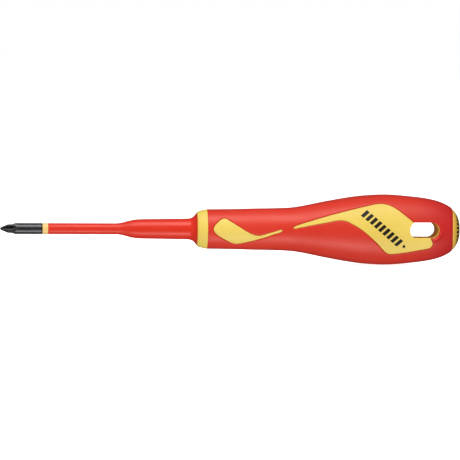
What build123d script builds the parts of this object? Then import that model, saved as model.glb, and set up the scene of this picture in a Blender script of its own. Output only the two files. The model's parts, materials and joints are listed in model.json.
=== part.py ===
from build123d import *
import math
import os

# Slim-shank 1000 V insulated cross-head screwdriver, size PH1 x 80 mm.
# Frame: origin at the point of the blade, +X along the tool axis towards the end cap,
# +Z up, the hanging slot runs through along Y. Front means -X, rear +X. Millimetres.
# Profiles are lists of (x, radius).

GAP = 0.02                # between pieces that are moulded onto each other

# Blade
BLADE_R = 2.25
BLADE_NECK_R = 1.55       # turned down under the slim insulation
BARE_TIP_L = 17.1         # bare metal, the standard allows 18 mm
NECK_END_X = 49.0
NECK_TAPER_END_X = 52.0   # full radius again from here
BLADE_END_X = 140.0       # how deep the blade reaches into the handle
BLADE_END_CHAMFER = 0.6
TIP_FLAT_R = 0.45
TIP_CONE_DEG = 24.5       # half angle of the point
TIP_WING_R = 1.86         # the four tip wings are a little smaller than the shank
FLUTE_TURN_DEG = 20.0     # how far the flutes are turned about the axis
FLUTE_HALF_DEG = 44.0     # half angle of each flute's V
FLUTE_REACH = 3.2         # radial depth of the V cutter
# x, distance of the flute's root from the axis
FLUTE_ROOT = [(-0.5, 0.22), (1.5, 0.30), (3.3, 0.40), (4.4, 0.50),
              (5.0, 0.85), (5.6, 1.32), (6.2, 1.88), (6.75, 2.35)]
# Forged wings that stop the blade turning in the handle
FORGED_X0, FORGED_X1 = 124, 137
FORGED_R = 3.6
FORGED_END_R = 2.0
FORGED_TAPER_FRONT_L, FORGED_TAPER_REAR_L = 2, 2
FORGED_HALF_T = 0.75
FORGED_ANGLES = (45, 135)

# Two-layer insulation
RING_END_X = 19.42        # end of the full-diameter band of the inner insulation
SLIM_R = BLADE_R          # slim part of the insulation, flush with the blade
SLIM_END_X = 47.6
INNER_SLIM_R = 1.95       # inner layer under the slim part
INNER_FLARE_X0, INNER_FLARE_X1 = 48.4, 54.0
INNER_FLARE_R = 3.05
INNER_FULL_X = 92.0       # the inner layer has its full radius from here
INNER_R = 3.15
INNER_GROOVE_R = 2.75
INNER_GROOVES = [(98.0, 99.6), (101.6, 103.2)]   # x of front and rear walls
INNER_TAPER_X, INNER_END_X = 105.4, 106.0
INNER_END_R = 2.6
OUTER_SEAT_R = 4.6        # part of the outer layer inside the handle
OUTER_GROOVE_R = 4.1
OUTER_GROOVES = [(88.0, 89.6)]
OUTER_TAPER_X, OUTER_END_X = 95.0, 95.6
OUTER_END_R = 4.0

# Handle: x, half height (Z), half thickness (Y) of the outside
HANDLE = [
    (83.9, 8.05, 8.05), (88, 8.10, 8.10), (92, 8.15, 8.15), (96, 8.21, 8.21),
    (100, 8.34, 8.34), (104, 8.45, 8.45), (108, 8.51, 8.51), (112, 8.61, 8.61),
    (116, 8.75, 8.75), (119, 8.98, 8.98), (122, 9.44, 9.43), (125, 10.02, 9.99),
    (128, 10.66, 10.58), (131, 11.28, 11.14), (134, 11.84, 11.64), (137, 12.40, 12.10),
    (140, 12.92, 12.50), (143, 13.37, 12.81), (146, 13.75, 13.03), (149, 14.01, 13.14),
    (152, 14.19, 13.14), (155, 14.33, 13.04), (157, 14.32, 12.90), (160, 14.19, 12.64),
    (163, 13.95, 12.31), (166, 13.66, 11.93), (169, 13.35, 11.53), (172, 12.99, 11.11),
    (175, 12.47, 10.64), (177.5, 11.85, 10.17), (179.6, 11.13, 9.72), (181.3, 10.36, 9.30),
    (182.6, 9.62, 8.95), (183.4, 9.06, 8.66), (183.85, 8.64, 8.46)]
# x, wall thickness of the soft grip over the hard body
GRIP_WALL = [(83.9, 1.1), (100, 1.15), (116, 1.3), (131, 1.7), (146, 2.1), (160, 2.1),
             (172, 1.7), (179.6, 1.4), (183.85, 1.1)]
HANDLE_X = 79.75                   # front face of the handle, 80 mm nominal blade length
COLLAR_END_X = HANDLE[0][0]        # front edge of the soft grip
HANDLE_END_X = HANDLE[-1][0]       # rear edge of the soft grip
BODY_X0, BODY_X1 = COLLAR_END_X - GAP, 183.2   # hard body under the grip
COLLAR_R0, COLLAR_R1 = 6.72, HANDLE[0][1]
CAP_R = 8.35
CAP_APEX_X = 187.0
CORE_X0, CORE_X1 = 97.0, 158.5
CORE_DEPTH = 1.7                   # ribs stay this far below the soft grip
RIB_X0, RIB_X1 = 121, 157
RIB_HALF_T = 1.2
CROSS_RIBS = (126, 136, 146, 156)
CROSS_RIB_HALF_T = 0.9
RIB_REACH = 15                     # past the outside of the handle
KEY_X0, KEY_X1 = 96, 158
KEY_HALF_W, KEY_DEPTH = 1.6, 0.9
KEY_REACH = 20
SLOT_X0, SLOT_X1 = 165.7, 177.75
SLOT_HALF_H = 3.18
SLOT_FRONT_R = 3.75
RIM_WIDTH, RIM_OVERLAP = 0.25, 0.2   # slot rim outside and inside the slot's outline
CUT_REACH = 30                     # prisms that pass one side of the handle

# Outlines of the hard windows in the grip, (x, z) on the -Y side
LEAF = [
    (87.61, 2.75), (88.91, 3.96), (89.92, 4.52), (90.8, 4.61), (91.8, 4.22), (94.15, 2.74),
    (97.11, 0.83), (99.56, -0.73), (101.43, -1.69), (103.1, -2.27), (104.48, -2.46),
    (105.7, -2.28), (107.6, -1.71), (109.78, -1.07), (111.56, -0.51), (112.97, -0.06),
    (113.72, 0.0), (114.09, -0.34), (113.79, -0.73), (111.29, -1.69), (108.31, -2.79),
    (105.2, -3.79), (101.92, -4.7), (98.57, -5.52), (96.54, -5.87), (94.99, -5.88),
    (93.59, -5.55), (91.81, -4.73), (89.23, -3.35), (87.77, -2.34), (86.71, -1.29),
    (86.19, -0.34), (86.14, 0.5), (86.55, 1.46)]
SWOOSH = [
    (118.30, 0.82), (118.82, 1.26), (120.51, 2.05), (122.54, 2.74), (125.83, 3.78),
    (129.46, 4.92), (132.99, 5.97), (136.52, 6.95), (140.26, 7.91), (144.3, 8.92),
    (148.91, 10.0), (151.46, 10.55), (153.3, 10.76), (154.98, 10.71), (156.6, 10.42),
    (158.13, 9.89), (159.69, 9.07), (161.41, 7.89), (163.96, 5.86), (166.94, 3.41),
    (169.4, 1.29), (171.54, -0.69), (173.31, -2.5), (174.56, -3.99), (175.07, -4.92),
    (175.14, -5.75), (174.85, -6.56), (174.27, -7.19), (173.31, -7.61), (171.66, -7.93),
    (169.32, -8.3), (166.51, -8.84), (164.25, -9.2), (161.47, -9.56), (159.24, -9.82),
    (157.76, -9.83), (156.64, -9.56), (155.63, -8.95), (154.5, -7.87), (152.86, -6.04),
    (151.01, -4.23), (148.68, -2.12), (146.72, -0.5), (144.78, 0.88), (142.69, 2.16),
    (140.74, 3.19), (139.25, 3.74), (137.88, 3.96), (136.32, 3.91), (134.34, 3.57),
    (131.47, 2.95), (128.1, 2.33), (125.1, 1.74), (122.28, 1.12), (120.34, 0.74),
    (118.80, 0.55)]


# ---------------------------------------------------------------- helpers
def interp(table, x, col=1):
    """Linear interpolation in a table whose first column is x, held at both ends."""
    if x <= table[0][0]:
        return table[0][col]
    for a, b in zip(table, table[1:]):
        if x <= b[0]:
            return a[col] + (b[col] - a[col]) * (x - a[0]) / (b[0] - a[0])
    return table[-1][col]


def chain(points):
    """Straight edges through (x, z) points in the XZ plane."""
    return [Line((a[0], 0, a[1]), (b[0], 0, b[1])) for a, b in zip(points, points[1:])]


def curve(points, start, end):
    """Spline through (x, z) points, with (x, z) tangents at its start and end."""
    return Spline([(x, 0, z) for x, z in points], tangents=[(x, 0, z) for x, z in (start, end)])


def lathe(*edges):
    """Solid of revolution about X from a closed chain of edges in the XZ plane."""
    return revolve(make_face(list(edges)), Axis.X, 360)


def turned(points):
    """Lathe of a straight-line profile, closed back to its first point."""
    return lathe(*chain(list(points) + [points[0]]))


def box(x0, x1, y0, y1, z0, z1):
    return Pos((x0 + x1) / 2, (y0 + y1) / 2, (z0 + z1) / 2) * Box(x1 - x0, y1 - y0, z1 - z0)


def cross_plane(x):
    """YZ plane at x; its local x is Y and its local y is Z."""
    return Plane(origin=(x, 0, 0), x_dir=(0, 1, 0), z_dir=(1, 0, 0))


def prism_one_side(face):
    return extrude(face, amount=CUT_REACH, dir=(0, -1, 0))


def on_side(side, shape):
    """A shape made on the -Y side, turned half a turn about X for the +Y side."""
    return shape if side < 0 else Rot(180, 0, 0) * shape


def groove_points(grooves, outer_r, floor_r, gap=0):
    """Profile points of square grooves; gap makes the bore that fits over them."""
    points = []
    for x0, x1 in grooves:
        points += [(x0 + gap, outer_r + gap), (x0 + gap, floor_r + gap),
                   (x1 - gap, floor_r + gap), (x1 - gap, outer_r + gap)]
    return points


# ---------------------------------------------------------------- blade
def forged_wing(angle, half_width, gap=0):
    """Pair of opposite forged wings, grown by gap."""
    x0, x1 = FORGED_X0 - gap, FORGED_X1 + gap
    half_t = FORGED_HALF_T + gap
    wing = box(x0, x1, -half_width, half_width, -half_t, half_t)
    wing = wing & turned([
        (x0, 0), (x0, FORGED_END_R + gap),
        (FORGED_X0 + FORGED_TAPER_FRONT_L, FORGED_R + gap),
        (FORGED_X1 - FORGED_TAPER_REAR_L, FORGED_R + gap),
        (x1, FORGED_END_R + gap), (x1, 0)])
    return Rot(angle, 0, 0) * wing


def flute_section(x, root):
    """V opening away from the axis towards -Y."""
    half_w = FLUTE_REACH * math.tan(math.radians(FLUTE_HALF_DEG))
    far = -root - FLUTE_REACH
    return cross_plane(x) * make_face(
        Polyline((-root, 0), (far, half_w), (far, -half_w), (-root, 0)))


def make_blade():
    cone_x = (TIP_WING_R - TIP_FLAT_R) / math.tan(math.radians(TIP_CONE_DEG))
    blade = turned([
        (0, 0), (0, TIP_FLAT_R - 0.1), (0.1, TIP_FLAT_R), (cone_x, TIP_WING_R),
        (4.7, TIP_WING_R + 0.04), (5.9, BLADE_R), (BARE_TIP_L, BLADE_R),
        (BARE_TIP_L, BLADE_NECK_R), (NECK_END_X, BLADE_NECK_R), (NECK_TAPER_END_X, BLADE_R),
        (BLADE_END_X - BLADE_END_CHAMFER, BLADE_R),
        (BLADE_END_X, BLADE_R - BLADE_END_CHAMFER), (BLADE_END_X, 0)])
    # four flutes whose root climbs away from the axis and runs out on the shank
    flute = loft([flute_section(x, root) for x, root in FLUTE_ROOT], ruled=True)
    for k in range(4):
        blade = blade - Rot(90 * k - FLUTE_TURN_DEG, 0, 0) * flute
    for angle in FORGED_ANGLES:
        blade = blade + forged_wing(angle, FORGED_R)
    return blade


# ---------------------------------------------------------------- insulation
def make_inner_sleeve():
    return turned([
        (BARE_TIP_L + GAP, BLADE_NECK_R + GAP), (BARE_TIP_L + GAP, BLADE_R - 0.05),
        (BARE_TIP_L + 0.07, BLADE_R), (RING_END_X, SLIM_R), (RING_END_X, INNER_SLIM_R),
        (INNER_FLARE_X0, INNER_SLIM_R), (INNER_FLARE_X1, INNER_FLARE_R),
        (INNER_FULL_X, INNER_R),
        *groove_points(INNER_GROOVES, INNER_R, INNER_GROOVE_R),
        (INNER_TAPER_X, INNER_R), (INNER_END_X, INNER_END_R), (INNER_END_X, BLADE_R + GAP),
        (NECK_TAPER_END_X - GAP, BLADE_R + GAP), (NECK_END_X - GAP, BLADE_NECK_R + GAP)])


def make_outer_sleeve():
    face_x = HANDLE_X - 0.05
    bore_start = (INNER_FLARE_X0 - GAP, INNER_SLIM_R + GAP)
    return lathe(
        *chain([bore_start, (RING_END_X + GAP, INNER_SLIM_R + GAP),
                (RING_END_X + GAP, SLIM_R), (SLIM_END_X, SLIM_R)]),
        curve([(SLIM_END_X, SLIM_R), (49.3, 2.52), (50.93, 2.95), (52.56, 3.38),
               (54.18, 3.70), (55.8, 3.88), (57.5, 3.95)], (1, 0), (1, 0.03)),
        curve([(57.5, 3.95), (61, 4.02), (66, 4.09), (71, 4.18), (75, 4.22), (76.9, 4.28)],
              (1, 0.03), (1, 0.12)),
        curve([(76.9, 4.28), (77.8, 4.62), (78.6, 5.25), (79.2, 5.94), (face_x, 6.60)],
              (1, 0.12), (1, 1.0)),
        *chain([(face_x, 6.60), (face_x, OUTER_SEAT_R),
                *groove_points(OUTER_GROOVES, OUTER_SEAT_R, OUTER_GROOVE_R),
                (OUTER_TAPER_X, OUTER_SEAT_R), (OUTER_END_X, OUTER_END_R),
                (OUTER_END_X, INNER_R + GAP), (INNER_FULL_X, INNER_R + GAP),
                (INNER_FLARE_X1, INNER_FLARE_R + GAP), bore_start]))


# ---------------------------------------------------------------- handle forms
def no_inset(x):
    return 0.0


def under_grip(extra):
    """Inset function: the grip's wall thickness plus extra."""
    return lambda x: interp(GRIP_WALL, x) + extra


def handle_form(inset, x0=COLLAR_END_X, x1=HANDLE_END_X):
    """The handle's outer form, drawn in by inset(x)."""
    stations = [x0] + [row[0] for row in HANDLE if x0 + 0.3 < row[0] < x1 - 0.2] + [x1]
    return loft([cross_plane(x) * Ellipse(interp(HANDLE, x, 2) - inset(x),
                                          interp(HANDLE, x, 1) - inset(x))
                 for x in stations])


def keyed_form(gap=0):
    """Body under the grip, grown by gap, with keyways along its top and bottom.
    The grip fills them, which stops it turning."""
    form = handle_form(under_grip(-gap), BODY_X0, BODY_X1)
    x0, x1, half_w = KEY_X0 + gap, KEY_X1 - gap, KEY_HALF_W - gap
    keys = (box(x0, x1, -half_w, half_w, 0, KEY_REACH)
            + box(x0, x1, -half_w, half_w, -KEY_REACH, 0))
    return form - (keys - handle_form(under_grip(KEY_DEPTH - gap), KEY_X0, KEY_X1))


def core_form(gap=0):
    """Hub with lengthwise and cross ribs, grown by gap."""
    x0, x1 = CORE_X0 - gap, CORE_X1 + gap
    hub = turned([(x0, 0), (x0, 5.3 + gap), (117, 5.5 + gap), (121, 6.6 + gap),
                  (x1, 6.6 + gap), (x1, 0)])
    form = handle_form(under_grip(CORE_DEPTH - gap), 118.0, x1)
    rib_x0, rib_x1, half_t = RIB_X0 - gap, RIB_X1 + gap, RIB_HALF_T + gap
    ribs = (box(rib_x0, rib_x1, -half_t, half_t, -RIB_REACH, RIB_REACH)
            + box(rib_x0, rib_x1, -RIB_REACH, RIB_REACH, -half_t, half_t))
    half_t = CROSS_RIB_HALF_T + gap
    for x in CROSS_RIBS:
        ribs = ribs + box(x - half_t, x + half_t, -RIB_REACH, RIB_REACH, -RIB_REACH, RIB_REACH)
    return hub + (form & ribs)


# ---------------------------------------------------------------- windows and slot
def neighbour_direction(outline, i):
    """Unit (x, z) vector from the point before i to the point after it."""
    (xa, za), (xb, zb) = outline[i - 1], outline[(i + 1) % len(outline)]
    length = math.hypot(xb - xa, zb - za)
    return (xb - xa) / length, (zb - za) / length


def grown(outline, grow):
    """The outline moved outwards by grow, point by point along its normals."""
    area = sum(xa * zb - xb * za
               for (xa, za), (xb, zb) in zip(outline, outline[1:] + outline[:1]))
    turn = 1 if area > 0 else -1
    moved = []
    for i, (x, z) in enumerate(outline):
        dx, dz = neighbour_direction(outline, i)
        moved.append((x + turn * grow * dz, z - turn * grow * dx))
    return moved


def smooth_face(outline, step=3):
    """Face inside a closed chain of short splines that share tangents."""
    n = len(outline)
    cuts = list(range(0, n, step)) + [n]
    return make_face([
        curve([outline[i % n] for i in range(a, b + 1)],
              neighbour_direction(outline, a), neighbour_direction(outline, b % n))
        for a, b in zip(cuts, cuts[1:])])


def window(outline, grow, side):
    return on_side(side, prism_one_side(smooth_face(grown(outline, grow))))


def slot_face(grow=0.0):
    """Hanging slot: shallow arc at the front end, half-round rear end."""
    half_h = SLOT_HALF_H + grow
    front_r = SLOT_FRONT_R + grow
    front_centre_x = SLOT_X0 + SLOT_FRONT_R
    x0 = front_centre_x - math.sqrt(front_r * front_r - half_h * half_h)
    x1 = SLOT_X1 - SLOT_HALF_H
    front = ThreePointArc((x0, 0, half_h), (front_centre_x - front_r, 0, 0), (x0, 0, -half_h))
    rear = ThreePointArc((x1, 0, -half_h), (x1 + half_h, 0, 0), (x1, 0, half_h))
    return make_face([front, Line((x0, 0, -half_h), (x1, 0, -half_h)),
                      rear, Line((x1, 0, half_h), (x0, 0, half_h))])


def slot_prism(grow=0.0):
    return extrude(slot_face(grow), amount=25, dir=(0, 1, 0), both=True)


def slot_rim(grow, side):
    """Thin hard rim around the rear end of the slot, on one side."""
    ring = prism_one_side(slot_face(RIM_WIDTH + grow)) - slot_prism(-RIM_OVERLAP)
    x0, top = 173.5 - grow, 2.4 + grow
    keep = prism_one_side(make_face(chain([
        (x0, -6), (182, -6), (182, top), (176.2 - grow, top), (x0, -2.0), (x0, -6)])))
    return on_side(side, ring & keep)


def hard_windows(grow=0):
    """Everything hard that shows through the grip, on both sides."""
    near, far = [window(LEAF, grow, side) + window(SWOOSH, grow, side) + slot_rim(grow, side)
                 for side in (-1, 1)]
    return near + far


# ---------------------------------------------------------------- handle pieces
def make_handle_core():
    """Ribbed skeleton moulded on the rear of the blade."""
    bores = turned([
        (90, 0), (90, INNER_R + GAP),
        *groove_points(INNER_GROOVES, INNER_R, INNER_GROOVE_R, GAP),
        (INNER_TAPER_X + GAP, INNER_R + GAP), (INNER_END_X + GAP, INNER_END_R + GAP),
        (INNER_END_X + GAP, BLADE_R + GAP),
        (BLADE_END_X - BLADE_END_CHAMFER + GAP, BLADE_R + GAP),
        (BLADE_END_X + GAP, BLADE_R - BLADE_END_CHAMFER + GAP), (BLADE_END_X + GAP, 0)])
    for angle in FORGED_ANGLES:
        bores = bores + forged_wing(angle, FORGED_R + 0.1, GAP)
    return core_form() - bores


def make_handle_body():
    collar = lathe(
        *chain([(BODY_X0, 0), (HANDLE_X, 0), (HANDLE_X, COLLAR_R0)]),
        curve([(HANDLE_X, COLLAR_R0), (80.1, 7.06), (81.3, 7.5), (82.8, 7.88),
               (BODY_X0, COLLAR_R1)], (0.3, 1), (1, 0)),
        *chain([(BODY_X0, COLLAR_R1), (BODY_X0, 0)]))
    sleeve_bore = turned([
        (HANDLE_X - 1, 0), (HANDLE_X - 1, OUTER_SEAT_R + GAP),
        *groove_points(OUTER_GROOVES, OUTER_SEAT_R, OUTER_GROOVE_R, GAP),
        (OUTER_TAPER_X, OUTER_SEAT_R + GAP), (OUTER_END_X + GAP, OUTER_END_R + GAP),
        (OUTER_END_X + GAP, INNER_R + GAP), (98.0, INNER_R + GAP), (98.0, 0)])
    # recess for the end cap, with the undercut its barb snaps into
    cap_recess = turned([(180.4, 0), (180.4, 4.6), (180.9, 5.05), (181.2, 5.5), (181.9, 5.5),
                         (182.2, 5.15), (184, 5.15), (184, 0)])
    body = (keyed_form() + (handle_form(no_inset) & hard_windows())) - slot_prism()
    body = body + collar
    return body - core_form(GAP) - sleeve_bore - cap_recess


def make_soft_grip():
    cap_r = CAP_R + GAP
    cap_seat = turned([(BODY_X1, 0), (BODY_X1, cap_r), (185, cap_r), (185, 0)])
    grip = handle_form(no_inset) - keyed_form(GAP)
    return grip - hard_windows(GAP) - slot_prism() - cap_seat


def make_end_cap():
    """Domed cap with a barbed, hollow plug on its front."""
    seat_x = BODY_X1 + GAP
    cap = lathe(
        *chain([(180.7, 0), (180.7, 4.3), (181.1, 4.8), (181.35, 5.4), (181.75, 5.4),
                (182.05, 5.1), (seat_x, 5.1), (seat_x, CAP_R), (HANDLE_END_X, CAP_R)]),
        curve([(HANDLE_END_X, CAP_R), (184.25, 8.12), (185.05, 7.22), (185.86, 5.93),
               (186.55, 4.2), (186.9, 2.35), (CAP_APEX_X, 0)], (1, -0.25), (0, -1)),
        *chain([(CAP_APEX_X, 0), (180.7, 0)]))
    return cap - turned([(180, 0), (180, 3.4), (184.3, 3.4), (184.6, 3.1), (184.6, 0)])


# ---------------------------------------------------------------- write
PIECES = {
    "blade": make_blade,
    "inner_sleeve": make_inner_sleeve,
    "outer_sleeve": make_outer_sleeve,
    "handle_core": make_handle_core,
    "handle_body": make_handle_body,
    "soft_grip": make_soft_grip,
    "end_cap": make_end_cap,
}

os.makedirs("parts", exist_ok=True)
for name, make in PIECES.items():
    solids = make().solids()
    piece = solids[0] if len(solids) == 1 else Compound(children=list(solids))
    export_step(piece, f"parts/{name}.step")
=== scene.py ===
# Cross-head screwdriver with an insulated shank and a two-colour handle with a hanging slot.
# It lies along X with the point of the blade at the low end and the end cap at the high end.
# The slot runs through the handle along Y. Lengths are in mm and become metres in make_object.
import json
import math
from math import pi

import bmesh
import bpy
import numpy as np
from mathutils import Matrix, Vector
from mathutils.geometry import delaunay_2d_cdt


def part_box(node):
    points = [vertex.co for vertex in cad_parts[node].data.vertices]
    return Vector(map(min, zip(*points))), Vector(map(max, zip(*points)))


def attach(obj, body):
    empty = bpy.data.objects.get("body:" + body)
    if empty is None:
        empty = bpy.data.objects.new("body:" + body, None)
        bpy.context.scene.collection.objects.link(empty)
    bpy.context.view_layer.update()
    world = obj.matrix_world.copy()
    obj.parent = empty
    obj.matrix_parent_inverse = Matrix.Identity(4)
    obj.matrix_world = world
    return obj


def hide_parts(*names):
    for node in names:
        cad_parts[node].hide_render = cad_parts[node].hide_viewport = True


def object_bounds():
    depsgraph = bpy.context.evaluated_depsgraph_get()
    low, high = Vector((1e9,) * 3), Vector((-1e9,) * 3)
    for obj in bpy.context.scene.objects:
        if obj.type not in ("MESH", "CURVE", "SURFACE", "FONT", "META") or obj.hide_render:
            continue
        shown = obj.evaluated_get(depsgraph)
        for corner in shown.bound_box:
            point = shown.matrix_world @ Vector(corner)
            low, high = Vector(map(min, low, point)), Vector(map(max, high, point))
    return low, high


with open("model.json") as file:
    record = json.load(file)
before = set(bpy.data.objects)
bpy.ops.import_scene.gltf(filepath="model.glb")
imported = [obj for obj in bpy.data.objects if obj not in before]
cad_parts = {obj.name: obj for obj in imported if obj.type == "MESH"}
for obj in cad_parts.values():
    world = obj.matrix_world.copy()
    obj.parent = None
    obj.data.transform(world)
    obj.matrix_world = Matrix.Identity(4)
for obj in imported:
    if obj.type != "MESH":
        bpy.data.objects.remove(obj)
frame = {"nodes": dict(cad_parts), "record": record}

cad_lo, cad_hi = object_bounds()
MM = 0.001


# ------------------------------------------------------------------ places taken from the CAD pieces
def low_x(piece):
    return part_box(piece)[0].x / MM


def high_x(piece):
    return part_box(piece)[1].x / MM


X_POINT = low_x("blade")
X_RING = low_x("inner_sleeve")              # the bare tip ends here
X_RED = low_x("outer_sleeve")               # the red sleeve starts here
X_COLLAR = low_x("handle_body")             # front face of the handle
X_BODY_END = high_x("handle_body")
X_GRIP = low_x("soft_grip")
X_REAR = high_x("soft_grip")
X_APEX = high_x("end_cap")
CAP_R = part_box("end_cap")[1].z / MM

SLOT_MOUNT = [m for m in frame["record"]["mounts"] if m["name"] == "hang_slot"][0]
SLOT_X = SLOT_MOUNT["pos_m"][0] / MM
SLOT_HALF_LENGTH = 6.025
SLOT_HALF_HEIGHT = 3.18                     # also the radius of the slot's rear end
SLOT_FRONT_R = 3.75
SLOT_REAR_CENTRE = SLOT_X + SLOT_HALF_LENGTH - SLOT_HALF_HEIGHT
SLOT_STEP = 0.28

SLIM_R = 2.25                               # shank, ring and slim part of the sleeve
GAP = 0.05                                  # between the soft grip and the hard windows
SEAT_CLEARANCE = 0.03                       # under the soft grip

# ------------------------------------------------------------------ the handle's outer form
# x, half height along Z, half width along Y
HANDLE = np.array([
    (83.9, 8.05, 8.05), (88, 8.10, 8.10), (92, 8.15, 8.15), (96, 8.21, 8.21),
    (100, 8.34, 8.34), (104, 8.45, 8.45), (108, 8.51, 8.51), (112, 8.61, 8.61),
    (116, 8.75, 8.75), (119, 8.98, 8.98), (122, 9.44, 9.43), (125, 10.02, 9.99),
    (128, 10.66, 10.58), (131, 11.28, 11.14), (134, 11.84, 11.64), (137, 12.40, 12.10),
    (140, 12.92, 12.50), (143, 13.37, 12.81), (146, 13.75, 13.03), (149, 14.01, 13.14),
    (152, 14.19, 13.14), (155, 14.33, 13.04), (157, 14.32, 12.90), (160, 14.19, 12.64),
    (163, 13.95, 12.31), (166, 13.66, 11.93), (169, 13.35, 11.53), (172, 12.99, 11.11),
    (175, 12.47, 10.64), (177.5, 11.85, 10.17), (179.6, 11.13, 9.72), (181.3, 10.36, 9.30),
    (182.6, 9.62, 8.95), (183.4, 9.06, 8.66), (183.85, 8.64, 8.46)])
# x, wall thickness of the soft grip
GRIP_WALL = np.array([(83.9, 1.1), (100, 1.15), (116, 1.3), (131, 1.7), (146, 2.1), (160, 2.1),
                      (172, 1.7), (179.6, 1.4), (183.85, 1.1)])
# x, z of the two yellow windows, as closed outlines
LEAF = [
    (87.61, 2.75), (88.91, 3.96), (89.92, 4.52), (90.8, 4.61), (91.8, 4.22), (94.15, 2.74),
    (97.11, 0.83), (99.56, -0.73), (101.43, -1.69), (103.1, -2.27), (104.48, -2.46),
    (105.7, -2.28), (107.6, -1.71), (109.78, -1.07), (111.56, -0.51), (112.97, -0.06),
    (113.72, 0.0), (114.09, -0.34), (113.79, -0.73), (111.29, -1.69), (108.31, -2.79),
    (105.2, -3.79), (101.92, -4.7), (98.57, -5.52), (96.54, -5.87), (94.99, -5.88),
    (93.59, -5.55), (91.81, -4.73), (89.23, -3.35), (87.77, -2.34), (86.71, -1.29),
    (86.19, -0.34), (86.14, 0.5), (86.55, 1.46)]
SWOOSH = [
    (118.30, 0.82), (118.82, 1.26), (120.51, 2.05), (122.54, 2.74), (125.83, 3.78),
    (129.46, 4.92), (132.99, 5.97), (136.52, 6.95), (140.26, 7.91), (144.3, 8.92),
    (148.91, 10.0), (151.46, 10.55), (153.3, 10.76), (154.98, 10.71), (156.6, 10.42),
    (158.13, 9.89), (159.69, 9.07), (161.41, 7.89), (163.96, 5.86), (166.94, 3.41),
    (169.4, 1.29), (171.54, -0.69), (173.31, -2.5), (174.56, -3.99), (175.07, -4.92),
    (175.14, -5.75), (174.85, -6.56), (174.27, -7.19), (173.31, -7.61), (171.66, -7.93),
    (169.32, -8.3), (166.51, -8.84), (164.25, -9.2), (161.47, -9.56), (159.24, -9.82),
    (157.76, -9.83), (156.64, -9.56), (155.63, -8.95), (154.5, -7.87), (152.86, -6.04),
    (151.01, -4.23), (148.68, -2.12), (146.72, -0.5), (144.78, 0.88), (142.69, 2.16),
    (140.74, 3.19), (139.25, 3.74), (137.88, 3.96), (136.32, 3.91), (134.34, 3.57),
    (131.47, 2.95), (128.1, 2.33), (125.1, 1.74), (122.28, 1.12), (120.34, 0.74),
    (118.80, 0.55)]


def smooth_step(t):
    t = np.clip(t, 0, 1)
    return t * t * (3 - 2 * t)


def cubic_piece(bend_a, bend_b, value_a, value_b, span, to_end, from_start):
    """Cubic between two knots, from their values and second derivatives."""
    return (bend_a * to_end ** 3 + bend_b * from_start ** 3) / (6 * span) \
        + (value_a / span - bend_a * span / 6) * to_end \
        + (value_b / span - bend_b * span / 6) * from_start


def natural_spline(knots, values, query):
    """Natural cubic spline through the values at the knots, read at query."""
    count = len(knots)
    span = np.diff(knots)
    matrix = np.zeros((count, count))
    rhs = np.zeros(count)
    matrix[0, 0] = matrix[-1, -1] = 1
    for i in range(1, count - 1):
        matrix[i, i - 1] = span[i - 1]
        matrix[i, i] = 2 * (span[i - 1] + span[i])
        matrix[i, i + 1] = span[i]
        rhs[i] = 6 * ((values[i + 1] - values[i]) / span[i]
                      - (values[i] - values[i - 1]) / span[i - 1])
    bend = np.linalg.solve(matrix, rhs)
    k = np.clip(np.searchsorted(knots, query) - 1, 0, count - 2)
    return cubic_piece(bend[k], bend[k + 1], values[k], values[k + 1], span[k],
                       knots[k + 1] - query, query - knots[k])


def closed_spline(outline, step):
    """Closed smooth curve through the outline's points, sampled about every step."""
    points = np.array(outline, float)
    count = len(points)
    span = np.linalg.norm(np.roll(points, -1, 0) - points, axis=1)
    knots = np.r_[0, np.cumsum(span)]
    matrix = np.zeros((count, count))
    rhs = np.zeros((count, 2))
    for i in range(count):
        after = (i + 1) % count
        matrix[i, (i - 1) % count] += span[i - 1]
        matrix[i, i] += 2 * (span[i - 1] + span[i])
        matrix[i, after] += span[i]
        rhs[i] = 6 * ((points[after] - points[i]) / span[i]
                      - (points[i] - points[i - 1]) / span[i - 1])
    bend = np.linalg.solve(matrix, rhs)
    samples = int(round(knots[-1] / step))
    query = np.arange(samples) * knots[-1] / samples
    k = np.clip(np.searchsorted(knots, query, side="right") - 1, 0, count - 1)
    after = (k + 1) % count
    return cubic_piece(bend[k], bend[after], points[k], points[after], span[k][:, None],
                       (knots[k + 1] - query)[:, None], (query - knots[k])[:, None])


def open_spline(points, count):
    """Smooth curve through (x, radius) points, by chord length."""
    points = np.array(points, float)
    knots = np.r_[0, np.cumsum(np.hypot(*np.diff(points, axis=0).T))]
    query = np.linspace(0, knots[-1], count)
    return np.stack([natural_spline(knots, points[:, 0], query),
                     natural_spline(knots, points[:, 1], query)], 1)


FORM_STEP = 0.05
FORM_X = np.arange(HANDLE[0, 0], HANDLE[-1, 0] + 1e-6, FORM_STEP)
FORM_X[-1] = HANDLE[-1, 0]


def form_column(column):
    """A column of HANDLE at FORM_X: lightly smoothed, except at the tight rear corner."""
    reach, sigma = 60, 1.1                  # samples each side, mm
    smoothing_end, fade = 178.5, 4.0        # mm along X
    exact = natural_spline(HANDLE[:, 0], HANDLE[:, column], FORM_X)
    kernel = np.exp(-0.5 * (np.arange(-reach, reach + 1) * FORM_STEP / sigma) ** 2)
    kernel /= kernel.sum()
    padded = np.r_[2 * exact[0] - exact[reach:0:-1], exact,
                   2 * exact[-1] - exact[-2:-reach - 2:-1]]
    smoothed = np.convolve(padded, kernel, "valid")
    weight = smooth_step((smoothing_end - FORM_X) / fade)
    return weight * smoothed + (1 - weight) * exact


FORM_Z, FORM_Y = form_column(1), form_column(2)


def half_height(x):
    return np.interp(x, FORM_X, FORM_Z)


def half_width(x):
    return np.interp(x, FORM_X, FORM_Y)


def grip_wall(x):
    return np.interp(x, GRIP_WALL[:, 0], GRIP_WALL[:, 1])


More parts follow.
